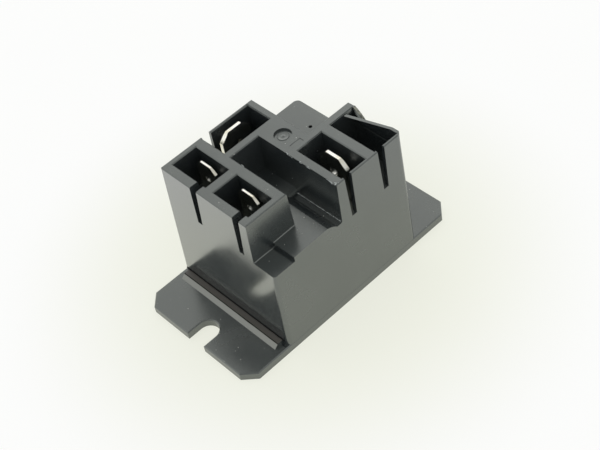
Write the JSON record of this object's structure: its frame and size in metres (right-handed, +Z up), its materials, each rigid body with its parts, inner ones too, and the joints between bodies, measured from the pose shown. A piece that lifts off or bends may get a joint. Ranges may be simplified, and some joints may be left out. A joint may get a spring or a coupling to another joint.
{
  "type": "power relay",
  "caption": "Flange-mounted power relay: black moulded case with tab terminals in deep sockets, and a sprung armature inside that closes the load contacts.",
  "frame": {"origin": "centre of the underside, in the plane on which the flanges stand", "axes": "+Z up out of the sockets, +X along the case from the plain printed face to the back, +Y across the case towards the side with the common terminal"},
  "size_m": [0.0506, 0.0274, 0.0273],
  "materials": {
    "case_plastic": "moulded black plastic, satin with one glossy face",
    "plate_plastic": "moulded black plastic",
    "carrier_plastic": "moulded dark grey plastic",
    "tinned_brass": "bright tinned brass",
    "contact_silver": "silver alloy contact",
    "bobbin_plastic": "natural glass-filled nylon",
    "magnet_wire": "enamelled copper wire",
    "wrap_film": "yellow polyester film",
    "magnet_steel": "zinc plated magnet iron",
    "spring_copper": "beryllium copper strip",
    "rivet_steel": "plated steel",
    "braid_copper": "bare copper braid"
  },
  "bodies": {
    "case": {"housing": "case_plastic", "bottom_plate": "plate_plastic", "contact_carrier": "carrier_plastic", "coil_terminal_1": "tinned_brass", "coil_terminal_2": "tinned_brass", "common_terminal": "tinned_brass", "normally_open_terminal": "tinned_brass", "fixed_contact": "contact_silver", "bobbin": "bobbin_plastic", "coil_winding": "magnet_wire", "coil_wrap": "wrap_film", "core": "magnet_steel", "yoke": "magnet_steel", "return_spring": "spring_copper", "spring_rivets": "rivet_steel", "braid": "braid_copper", "coil_lead_1": "magnet_wire", "coil_lead_2": "magnet_wire"},
    "armature_assembly": {"armature": "magnet_steel", "contact_blade": "spring_copper", "blade_rivets": "rivet_steel", "moving_contact": "contact_silver"}
  },
  "joints": [
    {"name": "armature_hinge", "type": "hinge", "parent": "case", "child": "armature_assembly", "pos_m": [0.00619, 0.0107, 0.0086], "axis": [0, 0, 1], "range_deg": [-5, 0], "stiffness_Nm_per_rad": 0.005, "springref_deg": 17.19}
  ]
}
